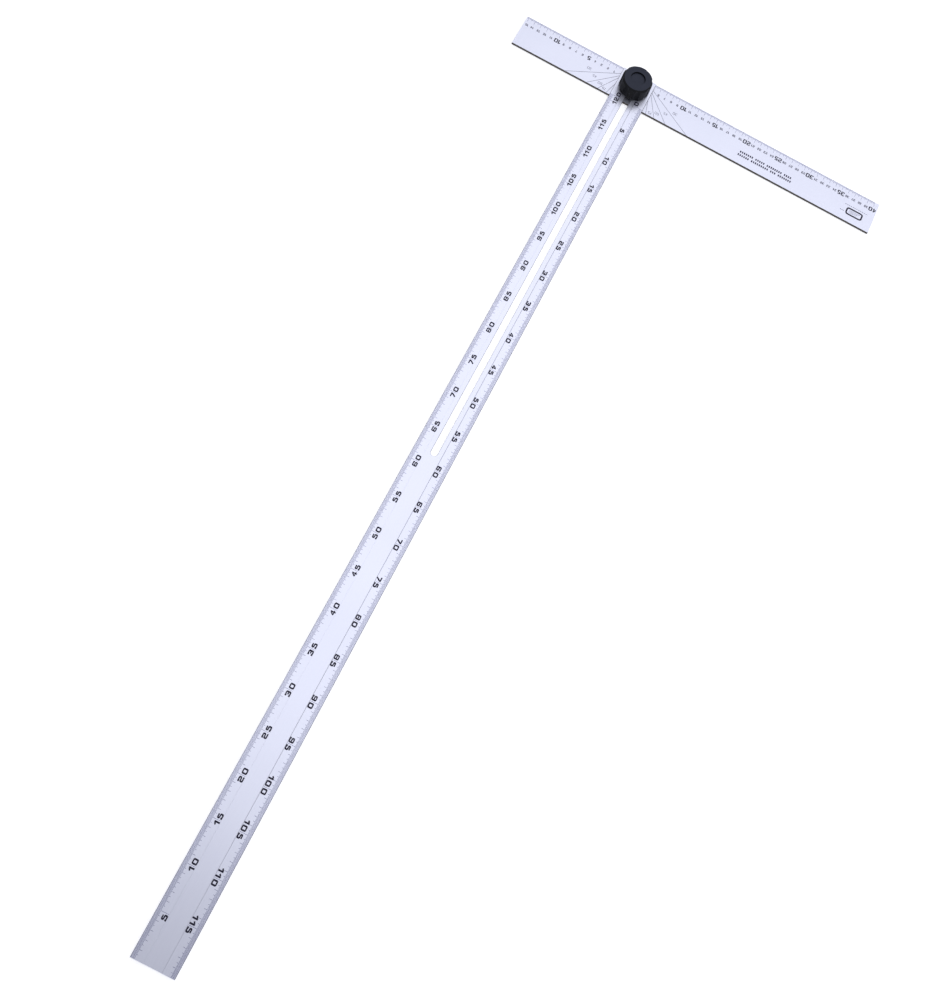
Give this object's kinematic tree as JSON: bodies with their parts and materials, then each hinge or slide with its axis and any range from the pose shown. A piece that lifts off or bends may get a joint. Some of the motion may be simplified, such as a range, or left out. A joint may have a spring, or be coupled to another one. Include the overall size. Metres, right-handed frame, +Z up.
{
  "type": "adjustable t square",
  "caption": "Adjustable drafting T-square: a long slotted graduated blade clamped across a graduated head bar by one fluted hand knob, so the head can slide and swivel.",
  "frame": {"origin": "on the head bar's working face, on the blade's centreline, at half the bar's thickness", "axes": "+X along the head bar towards its long arm; +Y along the blade towards its clamped end, so the working face looks along -Y; +Z up from the bar's underside to the knob"},
  "size_m": [0.56, 1.252, 0.0255],
  "materials": {
    "blade_aluminium": "satin clear anodised, printed dark graduations",
    "head_aluminium": "satin clear anodised, printed dark graduations",
    "stud_steel": "zinc plated",
    "bush_nylon": "natural nylon",
    "washer_nylon": "black nylon",
    "washer_steel": "zinc plated",
    "knob_plastic": "black moulded, fine texture",
    "insert_brass": "turned",
    "cap_plastic": "black moulded, fine texture"
  },
  "bodies": {
    "head": {"head_bar": "head_aluminium", "clamp_stud": "stud_steel"},
    "slider": {"slot_bush": "bush_nylon", "pressure_washer": "washer_nylon"},
    "blade": {"blade": "blade_aluminium"},
    "clamp_washer": {"steel_washer": "washer_steel"},
    "knob": {"knob_body": "knob_plastic", "knob_insert": "insert_brass", "knob_cap": "cap_plastic"}
  },
  "joints": [
    {"name": "blade_swivel", "type": "hinge", "parent": "head", "child": "slider", "pos_m": [0, 0.026, 0.0032], "axis": [0, 0, 1], "continuous": true},
    {"name": "blade_slide", "type": "slide", "parent": "slider", "child": "blade", "axis": [0, 1, 0], "range_m": [0, 0.6064]},
    {"name": "knob_lift", "type": "slide", "parent": "head", "child": "clamp_washer", "axis": [0, 0, 1], "range_m": [0, 0.002]},
    {"name": "knob_turn", "type": "hinge", "parent": "clamp_washer", "child": "knob", "pos_m": [0, 0.026, 0.007], "axis": [0, 0, 1], "range_deg": [0, 720]}
  ],
  "couplings": [
    {"joint": "knob_lift", "follows": "knob_turn", "m_per_rad": 0.00015915}
  ]
}
